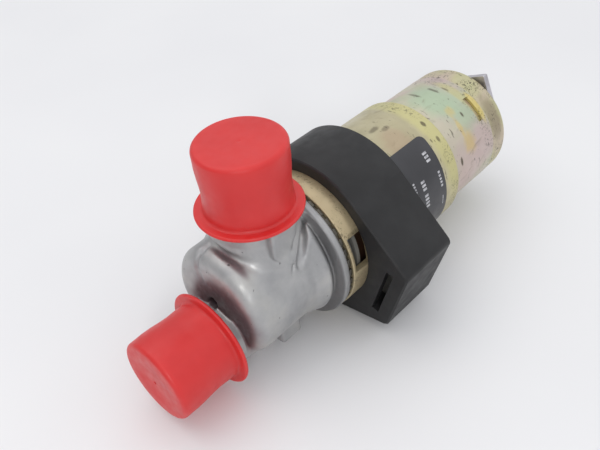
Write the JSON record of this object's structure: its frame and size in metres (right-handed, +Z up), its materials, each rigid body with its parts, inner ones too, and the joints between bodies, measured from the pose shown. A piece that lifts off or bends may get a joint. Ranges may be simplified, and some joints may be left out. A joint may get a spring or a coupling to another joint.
{
  "type": "solenoid valve",
  "caption": "Angle-pattern electric shut-off valve: cast body with two capped hose stubs, steel-cased solenoid and plastic terminal collar.",
  "frame": {"origin": "centre of the cast foot pad's face, straight below where the solenoid and side-port axes cross", "axes": "+X along the solenoid axis, away from the front port; +Z up along the side port"},
  "size_m": [0.1724, 0.0713, 0.0823],
  "materials": {
    "cast_aluminium": "as-cast, satin",
    "yellow_chromate_steel": "iridescent yellow chromate",
    "plated_steel": "zinc plated",
    "magnet_iron": "turned",
    "spring_steel": "drawn wire",
    "brass": "turned",
    "tinned_brass": "tinned",
    "copper_wire": "enamelled",
    "black_rubber": "matt",
    "black_plastic": "moulded, matt",
    "natural_plastic": "moulded",
    "lead_insulation": "smooth",
    "label_film": "satin film",
    "red_cap": "satin polyethylene"
  },
  "bodies": {
    "valve": {"valve_body": "cast_aluminium", "seat_ring": "brass", "flange_o_ring": "black_rubber", "bonnet_plate": "plated_steel", "lock_ring": "yellow_chromate_steel", "can_shell": "yellow_chromate_steel", "front_pole_plate": "plated_steel", "dished_washer": "plated_steel", "coil_bobbin": "natural_plastic", "coil_winding": "copper_wire", "rear_yoke_plate": "plated_steel", "guide_tube": "brass", "pole_core": "magnet_iron", "rod_bush": "brass", "rod_seal": "black_rubber", "rear_can": "yellow_chromate_steel", "end_cap": "yellow_chromate_steel", "spring_adjuster": "plated_steel", "rear_bracket": "plated_steel", "end_nut": "plated_steel", "collar_housing": "black_plastic", "collar_cover": "black_plastic", "terminal_carrier": "natural_plastic", "terminal_blades": "tinned_brass", "lead_wires": "lead_insulation", "type_label": "label_film", "return_spring": "spring_steel"},
    "plunger_group": {"disc_seal": "black_rubber", "disc_holder": "brass", "disc_retainer": "plated_steel", "plunger": "magnet_iron", "push_rod": "spring_steel", "spring_seat": "plated_steel", "rod_clip": "plated_steel"},
    "front_cap": {"front_port_cap": "red_cap"},
    "side_cap": {"side_port_cap": "red_cap"}
  },
  "joints": [
    {"name": "valve_lift", "type": "slide", "parent": "valve", "child": "plunger_group", "axis": [1, 0, 0], "range_m": [0, 0.0035], "stiffness_N_per_m": 1500, "springref_m": -0.004, "deforming": ["return_spring"]},
    {"name": "front_cap_pull", "type": "slide", "parent": "valve", "child": "front_cap", "axis": [-1, 0, 0], "range_m": [0, 0.06]},
    {"name": "side_cap_pull", "type": "slide", "parent": "valve", "child": "side_cap", "axis": [0, 0, 1], "range_m": [0, 0.06]}
  ]
}
